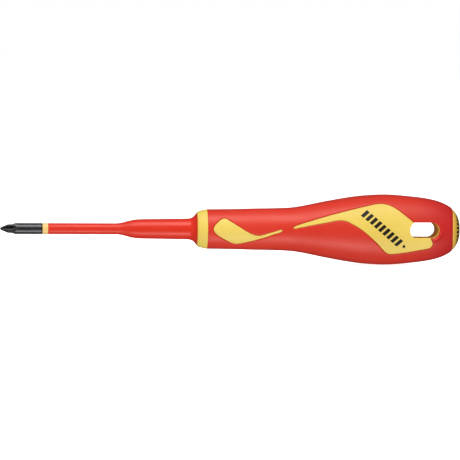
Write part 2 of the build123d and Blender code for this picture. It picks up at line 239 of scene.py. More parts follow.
def form_point(x, theta):
    """Point of the outer form, on the -Y side for theta in -90..90 degrees."""
    return np.stack([x, -half_width(x) * np.cos(theta), half_height(x) * np.sin(theta)], -1)


def form_frame(x, theta):
    """Outward normal, and the tangents along x and theta."""
    reach = 0.05
    x_a = np.clip(x - reach, X_GRIP, X_REAR)
    x_b = np.clip(x + reach, X_GRIP, X_REAR)
    along_x = (form_point(x_b, theta) - form_point(x_a, theta)) / (x_b - x_a)[..., None]
    around = np.stack([np.zeros_like(x), half_width(x) * np.sin(theta),
                       half_height(x) * np.cos(theta)], -1)
    normal = np.cross(along_x, around)
    normal /= np.linalg.norm(normal, axis=-1)[..., None]
    outward = np.stack([np.zeros_like(x), -np.cos(theta), np.sin(theta)], -1)
    sign = np.sign((normal * outward).sum(-1))
    return normal * sign[..., None], along_x, around


def theta_at(x, z):
    return np.arcsin(np.clip(z / half_height(x), -1, 1))


def on_form(outline):
    return form_point(outline[:, 0], theta_at(outline[:, 0], outline[:, 1]))


# ------------------------------------------------------------------ outlines on the side of the handle
def slot_outline():
    """Keyhole-like slot: shallow arc in front, straight sides, half circle at the rear."""
    height, radius = SLOT_HALF_HEIGHT, SLOT_FRONT_R
    arc_x = SLOT_X - SLOT_HALF_LENGTH + radius
    side_x = arc_x - math.sqrt(radius * radius - height * height)
    start = math.atan2(height, side_x - arc_x)
    front_steps = int(round(2 * (pi - start) * radius / SLOT_STEP))
    side_steps = int(round((SLOT_REAR_CENTRE - side_x) / SLOT_STEP))
    rear_steps = int(round(pi * height / SLOT_STEP))
    points = []
    for i in range(front_steps):            # front arc, top to bottom
        angle = start + (2 * (pi - start)) * i / front_steps
        points.append((arc_x + radius * math.cos(angle), radius * math.sin(angle)))
    for i in range(side_steps):
        points.append((side_x + (SLOT_REAR_CENTRE - side_x) * i / side_steps, -height))
    for i in range(rear_steps):
        angle = -pi / 2 + pi * i / rear_steps
        points.append((SLOT_REAR_CENTRE + height * math.cos(angle), height * math.sin(angle)))
    for i in range(side_steps):
        points.append((SLOT_REAR_CENTRE + (side_x - SLOT_REAR_CENTRE) * i / side_steps, height))
    return np.array(points)


RIM_WIDTH = 0.14
RIM_START, RIM_SWEEP = -112, 162            # degrees about the slot's rear centre
RIM_FADE_END, RIM_FADE = 52, 22             # degrees over which the rim narrows at the top
RIM_OVERLAP = 0.5                           # how far its outline reaches into the slot


def rim_outline():
    """Thin hard rim round the rear end of the slot."""
    points = []
    for i in range(41):
        angle = math.radians(RIM_START + RIM_SWEEP * i / 40)
        fade = min(1.0, max(0.0, (RIM_FADE_END - math.degrees(angle)) / RIM_FADE))
        radius = SLOT_HALF_HEIGHT + RIM_WIDTH * fade
        points.append((SLOT_REAR_CENTRE + radius * math.cos(angle), radius * math.sin(angle)))
    radius = SLOT_HALF_HEIGHT - RIM_OVERLAP
    for i in range(21):
        angle = math.radians(RIM_START + RIM_SWEEP - RIM_SWEEP * i / 20)
        points.append((SLOT_REAR_CENTRE + radius * math.cos(angle), radius * math.sin(angle)))
    return np.array(points)


def inside(outline, x, z):
    """Even-odd test of points against a closed outline."""
    result = np.zeros(len(x), bool)
    for (ax, az), (bx, bz) in zip(outline, np.roll(outline, -1, 0)):
        hit = (az > z) != (bz > z)
        crossing = ax + (z[hit] - az) * (bx - ax) / (bz - az)
        result[np.where(hit)[0][x[hit] < crossing]] ^= True
    return result


SLOT = slot_outline()
OUTLINES = {"leaf": closed_spline(LEAF, 0.30), "swoosh": closed_spline(SWOOSH, 0.32),
            "rim": rim_outline(), "slot": SLOT}


def true_edges(name):
    """Which edges of an outline lie outside the slot and the outline it overlaps."""
    outline = OUTLINES[name]
    if name not in ("swoosh", "rim"):
        return np.ones(len(outline), bool)
    middle = (outline + np.roll(outline, -1, 0)) / 2
    x, z = middle[:, 0], middle[:, 1]
    other = OUTLINES["rim" if name == "swoosh" else "swoosh"]
    return ~inside(SLOT, x, z) & ~inside(other, x, z)


TRUE_EDGES = {name: true_edges(name) for name in OUTLINES}


def offset_on_form(outline, distance):
    """x and theta of the closed outline, moved sideways by distance along the form."""
    x, z = outline[:, 0], outline[:, 1]
    theta = theta_at(x, z)
    points = form_point(x, theta)
    normal, along_x, around = form_frame(x, theta)
    tangent = np.roll(points, -1, 0) - np.roll(points, 1, 0)
    tangent /= np.linalg.norm(tangent, axis=1)[:, None]
    area = np.sum(x * np.roll(z, -1) - np.roll(x, -1) * z)
    side = np.cross(tangent, normal) * (1 if area > 0 else -1)
    # solve for the steps in x and theta through the metric of the surface
    xx = (along_x * along_x).sum(-1)
    xt = (along_x * around).sum(-1)
    tt = (around * around).sum(-1)
    side_x = (side * along_x).sum(-1) * distance
    side_t = (side * around).sum(-1) * distance
    det = xx * tt - xt * xt
    return x + (tt * side_x - xt * side_t) / det, theta + (xx * side_t - xt * side_x) / det


# the sign of distance that moves an outline outwards, found on the slot
_trial_x, _trial_theta = offset_on_form(SLOT, 0.3)
_trial_z = half_height(_trial_x) * np.sin(_trial_theta)
OUTWARD = 1.0 if np.abs(_trial_z).max() > SLOT_HALF_HEIGHT + 0.05 else -1.0

# distances of the mesh loops beside each outline: outwards, inwards
LOOPS_OUT = (GAP, 0.13, 0.22, 0.34, 0.5)
LOOPS_IN = (0.06, 0.14, 0.24, 0.36, 0.5)
LOOPS = {"leaf": (LOOPS_OUT, LOOPS_IN[:4]),
         "swoosh": (LOOPS_OUT, LOOPS_IN),
         "rim": (LOOPS_OUT + (0.64, 0.80, 0.98), LOOPS_IN[:1]),
         "slot": ((0.06, 0.14, 0.24, 0.36, 0.52, 0.72), ())}

# ------------------------------------------------------------------ triangulated half of the handle
UNROLL_X, UNROLL_R = 134.0, 11.0            # origin and radius of the flat map of the form


def triangulate(points, edges, output_type, tolerance):
    """Constrained Delaunay triangulation, as arrays of flat points and triangles."""
    result = delaunay_2d_cdt([Vector(p) for p in points], edges, [],
                             output_type, tolerance, False)
    return (np.array([tuple(p) for p in result[0]], float),
            np.array([tuple(f) for f in result[2]], int))


def triangulate_half():
    """x, theta and triangles of the -Y half, with all the outlines as mesh edges."""
    flat, edges = [], []

    def add_loop(x, theta, keep):
        start, count = len(flat), len(x)
        flat.extend(tuple(p) for p in np.stack([x - UNROLL_X, theta * UNROLL_R], -1))
        for i in range(count):
            if keep[i]:
                edges.append((start + i, start + (i + 1) % count))

    for name, outline in OUTLINES.items():
        x = outline[:, 0]
        add_loop(x, theta_at(x, outline[:, 1]), np.ones(len(x), bool))
        outer, inner = LOOPS[name]
        for distance in [OUTWARD * d for d in outer] + [-OUTWARD * d for d in inner]:
            add_loop(*offset_on_form(outline, distance), TRUE_EDGES[name])

    columns = [X_GRIP + d for d in (0, 0.04, 0.1, 0.18, 0.3, 0.6)]
    columns += list(np.linspace(X_GRIP + 1.2, 181.2, 118))
    columns += [181.8, 182.3, 182.7, 183.0, X_BODY_END]
    columns += [X_REAR - d for d in (0.5, 0.35, 0.22, 0.12, 0.05, 0)]
    columns = np.array(columns)
    rows = np.radians(np.linspace(-90, 90, 47))
    last_row = len(rows) - 1
    grid_x, grid_theta = np.meshgrid(columns, rows, indexing="ij")
    grid = form_point(grid_x.ravel(), grid_theta.ravel())
    outline_points = np.concatenate([on_form(o) for o in OUTLINES.values()])
    nearest = np.empty(len(grid))
    for i in range(0, len(grid), 1500):     # in blocks, to save memory
        gap = grid[i:i + 1500, None] - outline_points[None]
        nearest[i:i + 1500] = np.sqrt((gap ** 2).sum(2).min(1))
    keep = (nearest > 0.75).reshape(grid_x.shape)

    # full columns at both ends and at the end of the hard body, full rows at the seams
    full_columns = {0, len(columns) - 1, list(columns).index(X_BODY_END)}
    index = -np.ones(grid_x.shape, int)
    for i in range(len(columns)):
        for j in range(len(rows)):
            if keep[i, j] or i in full_columns or j in (0, last_row):
                index[i, j] = len(flat)
                flat.append((grid_x[i, j] - UNROLL_X, grid_theta[i, j] * UNROLL_R))
    for i in full_columns:
        for j in range(last_row):
            edges.append((index[i, j], index[i, j + 1]))
    for j in (0, last_row):
        for i in range(len(columns) - 1):
            edges.append((index[i, j], index[i + 1, j]))

    points, triangles = triangulate(flat, edges, 0, 1e-5)
    x = np.clip(points[:, 0] + UNROLL_X, X_GRIP, X_REAR)
    theta = np.clip(points[:, 1] / UNROLL_R, -pi / 2, pi / 2)
    return x, theta, triangles


def segment_distance(points, starts, ends):
    """Smallest distance of each point to the segments."""
    result = np.empty(len(points))
    along = ends - starts
    squared = np.maximum((along * along).sum(1), 1e-12)
    for i in range(0, len(points), 2000):   # in blocks, to save memory
        offset = points[i:i + 2000][:, None, :] - starts[None]
        t = np.clip((offset * along[None]).sum(2) / squared[None], 0, 1)
        gap = offset - t[..., None] * along[None]
        result[i:i + 2000] = np.sqrt((gap * gap).sum(2).min(1))
    return result


def open_edges(triangles):
    """Edges used by one triangle only."""
    edges = np.concatenate([triangles[:, [0, 1]], triangles[:, [1, 2]], triangles[:, [2, 0]]])
    _, inverse, uses = np.unique(np.sort(edges, 1), axis=0, return_inverse=True,
                                 return_counts=True)
    return edges[uses[inverse.reshape(-1)] == 1]


sheet_x, sheet_theta, triangles = triangulate_half()
sheet = form_point(sheet_x, sheet_theta)
sheet_normal = form_frame(sheet_x, sheet_theta)[0]
sheet_z = sheet[:, 2].copy()
# the rear edge is drawn forwards at the sides
REAR_DRAW, REAR_DRAW_START = 0.45, 182.0
sheet[:, 0] -= REAR_DRAW * np.cos(sheet_theta) ** 2 * smooth_step(
    (sheet_x - REAR_DRAW_START) / (X_REAR - REAR_DRAW_START))

centre_x, centre_z = sheet_x[triangles].mean(1), sheet_z[triangles].mean(1)
in_slot = inside(SLOT, centre_x, centre_z)
in_window = ~in_slot & np.any(
    [inside(OUTLINES[name], centre_x, centre_z) for name in ("leaf", "swoosh", "rim")], axis=0)


def window_segments():
    """Start and end points of the boundary between hard and soft."""
    starts, ends = [], []
    for name in ("leaf", "swoosh", "rim"):
        points = on_form(OUTLINES[name])
        starts.append(points[TRUE_EDGES[name]])
        ends.append(np.roll(points, -1, 0)[TRUE_EDGES[name]])
    return np.concatenate(starts), np.concatenate(ends)


window_starts, window_ends = window_segments()
slot_points = on_form(SLOT)
window_distance = segment_distance(sheet, window_starts, window_ends)
slot_distance = segment_distance(sheet, slot_points, np.roll(slot_points, -1, 0))


def drop_pinches(mask):
    """Takes out slivers that meet the rest of the sheet in a single point."""
    mask = mask.copy()
    side_a = sheet[triangles[:, 1]] - sheet[triangles[:, 0]]
    side_b = sheet[triangles[:, 2]] - sheet[triangles[:, 0]]
    area = np.linalg.norm(np.cross(side_a, side_b), axis=1) / 2
    for _ in range(12):
        kept = np.where(mask)[0]
        uses = np.bincount(open_edges(triangles[kept]).ravel(), minlength=len(sheet))
        pinched = np.where(uses > 2)[0]
        if not len(pinched):
            break
        for point in pinched:
            around = [int(t) for t in kept if point in triangles[t] and mask[t]]
            fans = []                       # triangles round the point, joined by shared edges
            for t in around:
                linked = [fan for fan in fans
                          if any(len(set(triangles[t]) & set(triangles[o])) == 2 for o in fan)]
                merged = [t] + [o for fan in linked for o in fan]
                fans = [fan for fan in fans if fan not in linked] + [merged]
            fans.sort(key=lambda fan: area[fan].sum())
            for fan in fans[:-1]:
                mask[fan] = False
    return mask


soft_side = ~in_window & ~in_slot
centre_distance = segment_distance(sheet[triangles].mean(1), window_starts, window_ends)
in_grip = drop_pinches(soft_side & (centre_distance > GAP * 0.8))

# points that belong to the soft side only
under_grip = np.zeros(len(sheet), bool)
under_grip[np.unique(triangles[soft_side])] = True
under_grip[np.unique(triangles[in_window])] = False


def inward_direction():
    """Against the normal, turning to +Y next to the slot."""
    to_y = smooth_step(1 - (slot_distance - 0.4) / 3.0)[:, None]
    direction = -sheet_normal * (1 - to_y) + np.array((0.0, 1.0, 0.0)) * to_y
    return direction / np.linalg.norm(direction, axis=1)[:, None]


inward = inward_direction()


# ------------------------------------------------------------------ mesh tools
def fillet(distance, width, depth):
    """Drop of a rounded edge at a distance from the edge."""
    t = np.clip(1 - distance / width, 0, 1)
    return depth * (1 - np.sqrt(1 - t * t))


def far_side(points):
    """The points turned half a turn about X."""
    return points * np.array((1, -1, -1))


def both_halves(points):
    return np.concatenate([points, far_side(points)])


def weld(points, faces, tolerance=1e-4):
    """Indices of the points kept, and the triangles renumbered to them."""
    keys = np.round(points / tolerance).astype(np.int64)
    _, first, inverse = np.unique(keys, axis=0, return_index=True, return_inverse=True)
    faces = inverse.reshape(-1)[faces]
    good = ((faces[:, 0] != faces[:, 1]) & (faces[:, 1] != faces[:, 2])
            & (faces[:, 2] != faces[:, 0]))
    faces = faces[good]
    used = np.unique(faces)
    renumber = -np.ones(len(first), int)
    renumber[used] = np.arange(len(used))
    return first[used], renumber[faces]


def closed_shell(top, bottom, faces):
    """Closes two sheets that share their triangles with walls along the open edges."""
    count = len(top)
    result = [tuple(f) for f in faces] + [tuple(f[::-1] + count) for f in faces]
    for a, b in open_edges(faces):
        result.append((b, a, a + count, b + count))
    return np.concatenate([top, bottom]), result


def lathe(profile, segments):
    """Solid of revolution about X from (x, radius) rows; a radius may vary round the ring.
    The profile's ends lie on the axis, or the profile closes on itself."""
    angles = np.arange(segments) * 2 * pi / segments
    points, rings, faces = [], [], []
    for x, radius in profile:
        radii = np.broadcast_to(radius, (segments,))
        start = len(points)
        if radii.max() < 1e-9:
            points.append((x, 0, 0))
        else:
            points.extend((x, -r * math.cos(a), r * math.sin(a)) for a, r in zip(angles, radii))
        rings.append(list(range(start, len(points))))
    pairs = list(zip(rings, rings[1:]))
    if len(rings[0]) > 1:
        pairs.append((rings[-1], rings[0]))
    for ring_a, ring_b in pairs:
        for i in range(segments):
            j = (i + 1) % segments
            if len(ring_a) == 1:
                faces.append((ring_a[0], ring_b[i], ring_b[j]))
            elif len(ring_b) == 1:
                faces.append((ring_a[i], ring_b[0], ring_a[j]))
            else:
                faces.append((ring_a[i], ring_b[i], ring_b[j], ring_a[j]))
    return points, faces


def join(*parts):
    points, faces = [], []
    for part_points, part_faces in parts:
        start = len(points)
        points.extend(tuple(p) for p in part_points)
        faces.extend(tuple(i + start for i in f) for f in part_faces)
    return points, faces


def make_object(name, points, faces, material, sharp_angle=38.0):
    mesh = bpy.data.meshes.new(name)
    mesh.from_pydata((np.asarray(points, float) * MM).tolist(), [],
                     [tuple(int(i) for i in f) for f in faces])
    bm = bmesh.new()
    bm.from_mesh(mesh)
    bmesh.ops.remove_doubles(bm, verts=bm.verts, dist=2e-9)
    bmesh.ops.dissolve_degenerate(bm, edges=bm.edges, dist=1e-9)
    bmesh.ops.recalc_face_normals(bm, faces=bm.faces)
    bm.to_mesh(mesh)
    bm.free()
    mesh.shade_smooth()
    mesh.set_sharp_from_angle(angle=math.radians(sharp_angle))
    ob = bpy.data.objects.new(name, mesh)
    bpy.context.scene.collection.objects.link(ob)
    mesh.materials.append(material)
    return ob


def register(ob, replaces=None):
    """Parents the object to the frame's root body and hides the CAD piece it stands for."""
    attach(ob, "root")
    if replaces:
        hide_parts(replaces)


# ------------------------------------------------------------------ shader tools
def feed(tree, socket, value):
    """Sets a socket to a number or an RGB colour, or links an output to it."""
    if isinstance(value, (int, float)):
        socket.default_value = value
    elif isinstance(value, tuple):
        socket.default_value = (*value, 1)
    else:
        tree.links.new(value, socket)


def feed_all(tree, node, values):
    for name, value in values.items():
        feed(tree, node.inputs[name], value)


def new_material(name):
    material = bpy.data.materials.new(name)
    material.use_nodes = True
    tree = material.node_tree
    tree.nodes.clear()
    output = tree.nodes.new("ShaderNodeOutputMaterial")
    shader = tree.nodes.new("ShaderNodeBsdfPrincipled")
    tree.links.new(shader.outputs["BSDF"], output.inputs["Surface"])
    return material, tree, shader


def object_coordinates(tree):
    return tree.nodes.new("ShaderNodeTexCoord").outputs["Object"]


def separate(tree, vector):
    node = tree.nodes.new("ShaderNodeSeparateXYZ")
    tree.links.new(vector, node.inputs[0])
    return node.outputs


def noise(tree, coordinates, scale, detail=2.0, roughness=0.5, stretch=(1, 1, 1)):
    mapping = tree.nodes.new("ShaderNodeMapping")
    mapping.inputs["Scale"].default_value = tuple(scale * s for s in stretch)
    tree.links.new(coordinates, mapping.inputs["Vector"])
    texture = tree.nodes.new("ShaderNodeTexNoise")
    feed_all(tree, texture, {"Vector": mapping.outputs["Vector"], "Scale": 1.0,
                             "Detail": detail, "Roughness": roughness})
    return texture.outputs["Fac"]


def ramp(tree, factor, stops):
    node = tree.nodes.new("ShaderNodeValToRGB")
    elements = node.color_ramp.elements
    while len(elements) < len(stops):
        elements.new(0.5)
    for element, (position, color) in zip(elements, stops):
        element.position = position
        element.color = (*color, 1)
    tree.links.new(factor, node.inputs["Fac"])
    return node.outputs["Color"]


def remap(tree, value, source, target):
    """Maps the range source to the range target, clamped."""
    node = tree.nodes.new("ShaderNodeMapRange")
    feed_all(tree, node, {"Value": value, "From Min": source[0], "From Max": source[1],
                          "To Min": target[0], "To Max": target[1]})
    return node.outputs["Result"]


def math_node(tree, operation, first, second):
    node = tree.nodes.new("ShaderNodeMath")
    node.operation = operation
    feed(tree, node.inputs[0], first)
    feed(tree, node.inputs[1], second)
    return node.outputs[0]


def mix_colors(tree, factor, first, second, blend="MIX"):
    node = tree.nodes.new("ShaderNodeMix")
    node.data_type = "RGBA"
    node.blend_type = blend
    for socket, value in zip((0, 6, 7), (factor, first, second)):
        feed(tree, node.inputs[socket], value)
    return node.outputs[2]


def bump(tree, height, strength, distance):
    node = tree.nodes.new("ShaderNodeBump")
    feed_all(tree, node, {"Height": height, "Strength": strength, "Distance": distance})
    return node.outputs["Normal"]


# ------------------------------------------------------------------ materials
def plastic(name, base, dark, light, roughness, grain_scale, grain_height, subsurface=0.0,
            blotch_scale=25.0, rear=None, glancing_shade_value=0.62, specular=0.5,
            specular_tint=(1.0, 1.0, 1.0)):
    """Moulded plastic: slow colour drift, fine grain, patches of varying roughness, and painted shade
    that darkens surfaces seen at a glancing angle.
    rear is (start x, end x, colour the base is multiplied by from there on); on the soft grip it paints
    shade towards the rear end."""
    material, tree, shader = new_material(name)
    coordinates = object_coordinates(tree)
    drift = noise(tree, coordinates, blotch_scale, detail=3.0, roughness=0.55,
                  stretch=(0.6, 1, 1))
    color = ramp(tree, drift, [(0.30, dark), (0.50, base), (0.72, light)])
    grain = noise(tree, coordinates, grain_scale, detail=3.0, roughness=0.6)
    speckle = remap(tree, grain, source=(0.35, 0.75), target=(0.985, 1.015))
    # painted shade: surfaces seen at a glancing angle are darker
    facing = tree.nodes.new("ShaderNodeLayerWeight")
    facing.inputs["Blend"].default_value = 0.5
    edge = remap(tree, facing.outputs["Facing"], source=(0.50, 0.97), target=(1.0, glancing_shade_value))
    hsv = tree.nodes.new("ShaderNodeHueSaturation")
    feed_all(tree, hsv, {"Color": color, "Value": math_node(tree, "MULTIPLY", speckle, edge)})
    color = hsv.outputs["Color"]
    # painted shade on the soft grip: darker and deeper red towards its rear end; the yellow body is
    # instead made lighter and more lemon towards the rear
    if rear:
        start, end, rear_shade_and_tint = rear
        rear_shade_and_tint_weight = remap(tree, separate(tree, coordinates)["X"],
                        source=(start * MM, end * MM), target=(0.0, 1.0))
        color = mix_colors(tree, rear_shade_and_tint_weight, color, rear_shade_and_tint, "MULTIPLY")
    rubbed_and_lit = noise(tree, coordinates, 130.0, detail=4.0, roughness=0.6, stretch=(0.5, 1, 1))
    coarse = noise(tree, coordinates, grain_scale * 0.25, detail=2.0, roughness=0.5)
    height = math_node(tree, "ADD", grain, math_node(tree, "MULTIPLY", coarse, 0.7))
    feed_all(tree, shader, {
        "Base Color": color,
        "Roughness": remap(tree, rubbed_and_lit, source=(0.3, 0.7),
                           target=(roughness - 0.05, roughness + 0.06)),
        "Normal": bump(tree, height, strength=0.55, distance=grain_height),
        "Specular IOR Level": specular,
        "Specular Tint": specular_tint})
    if subsurface:
        shader.inputs["Subsurface Weight"].default_value = subsurface
        shader.inputs["Subsurface Radius"].default_value = (1.0, 0.35, 0.2)
        shader.inputs["Subsurface Scale"].default_value = 0.0006
    return material


def steel():
    """Black oxide steel; the cross point is duller and less metallic than the shank."""
    material, tree, shader = new_material("black_oxide_steel")
    coordinates = object_coordinates(tree)
    x, _, z = separate(tree, coordinates)
    point_to_shank = (0.0048, 0.0068)       # metres along X
    # turning marks run round the shank, so the noise is squeezed along X
    marks = noise(tree, coordinates, 1.0, roughness=0.6, stretch=(16000, 120, 120))
    cloud = noise(tree, coordinates, 420.0, detail=4.0, roughness=0.6)
    shank_color = ramp(tree, cloud, [(0.28, (0.056, 0.056, 0.059)),
                                     (0.52, (0.065, 0.065, 0.068)),
                                     (0.74, (0.078, 0.077, 0.080))])
    point_color = ramp(tree, cloud, [(0.28, (0.072, 0.072, 0.073)),
                                     (0.52, (0.098, 0.098, 0.099)),
                                     (0.74, (0.128, 0.128, 0.129))])
    on_shank = remap(tree, x, source=point_to_shank, target=(0.0, 1.0))
    on_point = remap(tree, on_shank, source=(0.0, 1.0), target=(1.0, 0.0))
    color = mix_colors(tree, on_shank, point_color, shank_color)
    # painted shade: dark in the depth of the flutes, where the ambient occlusion is low
    occlusion = tree.nodes.new("ShaderNodeAmbientOcclusion")
    occlusion.samples = 8
    occlusion.inputs["Distance"].default_value = 0.0016
    exposed = remap(tree, occlusion.outputs["AO"], source=(0.45, 0.95), target=(0.0, 1.0))
    color = mix_colors(tree, math_node(tree, "MAXIMUM", exposed, on_shank),
                       (0.010, 0.010, 0.010), color)
    # painted highlight: lighter on the upper lands of the point
    lit_upper_land = remap(tree, z, source=(0.00125, 0.0016), target=(0.0, 1.0))
    rubbed_and_lit = mix_colors(tree, 1.0, color, (2.6, 2.6, 2.6), "MULTIPLY")
    color = mix_colors(tree, math_node(tree, "MULTIPLY", lit_upper_land, on_point), color, rubbed_and_lit)
    # painted shade: darker on the flanks of the point that face down
    geometry = tree.nodes.new("ShaderNodeNewGeometry")
    faces_up = remap(tree, separate(tree, geometry.outputs["Normal"])["Z"],
                     source=(-0.30, 0.55), target=(0.0, 1.0))
    downward_shade = mix_colors(tree, 0.90, color, (0.006, 0.006, 0.006))
    color = mix_colors(tree, math_node(tree, "MAXIMUM", faces_up, on_shank),
                       downward_shade, color)
    # chipped lighter along the sharp edges
    edge = remap(tree, geometry.outputs["Pointiness"], source=(0.515, 0.56), target=(0.0, 1.0))
    chips = remap(tree, noise(tree, coordinates, 2600.0, detail=4.0, roughness=0.65),
                  source=(0.42, 0.62), target=(0.0, 1.0))
    color = mix_colors(tree, math_node(tree, "MULTIPLY", edge, chips),
                       color, (0.20, 0.20, 0.205))
    # painted shade: a dark line next to the yellow ring, where the blade meets it
    ring_shade = remap(tree, x, source=((X_RING - 0.9) * MM, (X_RING - 0.1) * MM),
                         target=(0.0, 0.75))
    color = mix_colors(tree, ring_shade, color, (0.008, 0.008, 0.008))
    roughness = math_node(tree, "ADD",
                          remap(tree, cloud, source=(0.3, 0.7), target=(-0.04, 0.05)),
                          remap(tree, x, source=point_to_shank, target=(0.50, 0.35)))
    feed_all(tree, shader, {
        "Base Color": color,
        "Metallic": remap(tree, x, source=point_to_shank, target=(0.25, 0.80)),
        "Roughness": roughness,
        "Normal": bump(tree, marks, strength=0.25, distance=0.000004),
        "Specular IOR Level": remap(tree, x, source=point_to_shank, target=(0.24, 0.5))})
    return material


def ink():
    """Black print, slightly worn."""
    material, tree, shader = new_material("black_print")
    wear = noise(tree, object_coordinates(tree), 2600.0, detail=4.0, roughness=0.65)
    feed_all(tree, shader, {
        "Base Color": ramp(tree, wear, [(0.25, (0.009, 0.007, 0.004)),
                                        (0.6, (0.014, 0.011, 0.006)),
                                        (0.85, (0.05, 0.038, 0.014))]),
        "Roughness": remap(tree, wear, source=(0.3, 0.7), target=(0.50, 0.70)),
        "Specular IOR Level": 0.25,
        "Normal": bump(tree, wear, strength=0.3, distance=0.00001)})
    return material


# the rear multiplier paints shade on the grip's rear end
GRIP_RED = plastic(
    "soft_grip_tpe", base=(0.60, 0.027, 0.0125), dark=(0.56, 0.023, 0.011),
    light=(0.64, 0.032, 0.015), roughness=0.44, grain_scale=5200.0, grain_height=0.000022,
    subsurface=0.12, specular=0.60, specular_tint=(1.0, 0.58, 0.52),
    rear=(X_REAR - 17.0, X_REAR - 2.5, (0.86, 0.45, 1.0)))
SLEEVE_RED = plastic(
    "red_insulation", base=(0.64, 0.025, 0.010), dark=(0.60, 0.022, 0.009),
    light=(0.68, 0.029, 0.012), roughness=0.36, grain_scale=3000.0, grain_height=0.000006,
    subsurface=0.10, blotch_scale=18.0, specular=0.62, specular_tint=(1.0, 0.50, 0.44))
# the rear multiplier makes the body lighter and more lemon towards the rear
BODY_YELLOW = plastic(
    "yellow_hard_plastic", base=(0.728, 0.530, 0.093), dark=(0.695, 0.498, 0.082),
    light=(0.757, 0.562, 0.110), roughness=0.46, grain_scale=4200.0, grain_height=0.000015,
    subsurface=0.10, glancing_shade_value=0.78, specular=0.3, rear=(150.0, 172.0, (1.11, 1.14, 1.30)))
RING_YELLOW = plastic(
    "yellow_insulation", base=(0.77, 0.53, 0.17), dark=(0.73, 0.48, 0.15),
    light=(0.80, 0.58, 0.20), roughness=0.36, grain_scale=3600.0, grain_height=0.000008,
    subsurface=0.10, glancing_shade_value=0.78, specular=0.45)
# more painted shade at glancing angles on the dome than on the body
CAP_YELLOW = plastic(
    "yellow_cap_plastic", base=(0.71, 0.42, 0.055), dark=(0.67, 0.385, 0.046),
    light=(0.75, 0.46, 0.068), roughness=0.46, grain_scale=4200.0, grain_height=0.000015,
    subsurface=0.10, glancing_shade_value=0.55, specular=0.3)
# a brighter, more orange copy of the body's yellow: painted light on the wall of the slot
SLOT_LIT_YELLOW = plastic(
    "yellow_slot_wall_painted_light", base=(0.95, 0.60, 0.090), dark=(0.90, 0.55, 0.075),
    light=(0.97, 0.64, 0.105), roughness=0.46, grain_scale=4200.0, grain_height=0.000015,
    subsurface=0.10, glancing_shade_value=0.78, specular=0.3)
CORE_PLASTIC = plastic(
    "core_plastic", base=(0.72, 0.66, 0.52), dark=(0.68, 0.62, 0.48),
    light=(0.76, 0.70, 0.56), roughness=0.5, grain_scale=2500.0, grain_height=0.00003)
STEEL = steel()
INK = ink()


# ------------------------------------------------------------------ soft grip
def build_grip():
    height = -(fillet(window_distance - GAP, width=0.44, depth=0.36)
               + fillet(slot_distance, width=0.55, depth=0.26)
               + fillet(sheet_x - X_GRIP, width=0.30, depth=0.14)
               + fillet(X_REAR - sheet_x, width=0.30, depth=0.10))
    # a low bead where the grip closes round the lower rear end of the slot
    beyond_rim = np.hypot(sheet_x - SLOT_REAR_CENTRE, sheet_z) - SLOT_HALF_HEIGHT - RIM_WIDTH
    angle = np.degrees(np.arctan2(sheet_z, sheet_x - SLOT_REAR_CENTRE))
    extent = smooth_step(np.clip((angle - RIM_START) / 30, 0, 1)
                         * np.clip((5 - angle) / 35, 0, 1))
    bead = 0.50 * np.exp(-((beyond_rim - 0.95) / 0.42) ** 2)
    height += (bead - fillet(beyond_rim, width=0.60, depth=0.30)) * extent
    top = sheet + sheet_normal * height[:, None]
    bottom = sheet + inward * (grip_wall(sheet_x) - SEAT_CLEARANCE)[:, None]
    # behind the hard body the grip closes round the cap
    behind = sheet_x >= X_BODY_END - 1e-6
    radius, theta = CAP_R + SEAT_CLEARANCE, sheet_theta[behind]
    bottom[behind] = np.stack([sheet[behind, 0], -radius * np.cos(theta),
                               radius * np.sin(theta)], -1)
    top, bottom = both_halves(top), both_halves(bottom)
    faces = triangles[in_grip]
    kept, faces = weld(top, np.concatenate([faces, faces + len(sheet)]))
    points, faces = closed_shell(top[kept], bottom[kept], faces)
    grip = make_object("soft_grip_skin", points, faces, GRIP_RED)
    register(grip, replaces="soft_grip")


build_grip()


# ------------------------------------------------------------------ hard body
def boundary_loops(faces):
    """The closed loops of open edges, as lists of point indices."""
    following = {}
    for a, b in open_edges(faces):
        following.setdefault(int(a), int(b))
    seen, loops = set(), []
    for start in following:
        if start in seen:
            continue
        loop, current = [start], following[start]
        while current != start:
            loop.append(current)
            current = following[current]
        seen.update(loop)
        loops.append(loop)
    return loops


def extend_loop(points, faces, loop, rows):
    """Carries a loop on through rows of (x, radius) about X and closes the last one."""
    angles = [math.atan2(points[i][2], -points[i][1]) for i in loop]
    count = len(loop)
    previous = list(loop)
    for x, radius in rows:
        current = list(range(len(points), len(points) + count))
        points.extend([x, -radius * math.cos(a), radius * math.sin(a)] for a in angles)
        for i in range(count):
            j = (i + 1) % count
            faces.append((previous[i], previous[j], current[j], current[i]))
        previous = current
    centre = len(points)
    points.append([rows[-1][0], 0, 0])
    for i in range(count):
        faces.append((previous[i], previous[(i + 1) % count], centre))


def bridge_slot(points, faces, loop_a, loop_b):
    """Joins the slot's two openings, stepping through both by angle about its centre."""
    def by_angle(loop):
        angles = np.array([math.atan2(points[i][2], points[i][0] - SLOT_X) for i in loop])
        order = np.argsort(angles)
        return [loop[i] for i in order], angles[order]

    def next_angle(angles, k):
        if k >= len(angles):
            return math.inf
        return angles[(k + 1) % len(angles)] + (2 * pi if k + 1 >= len(angles) else 0)

    loop_a, angles_a = by_angle(loop_a)
    loop_b, angles_b = by_angle(loop_b)
    count_a, count_b = len(loop_a), len(loop_b)
    i = j = 0
    while i < count_a or j < count_b:
        a, b = loop_a[i % count_a], loop_b[j % count_b]
        if next_angle(angles_a, i) <= next_angle(angles_b, j):
            faces.append((a, loop_a[(i + 1) % count_a], b))
            i += 1
        else:
            faces.append((a, loop_b[(j + 1) % count_b], b))
            j += 1


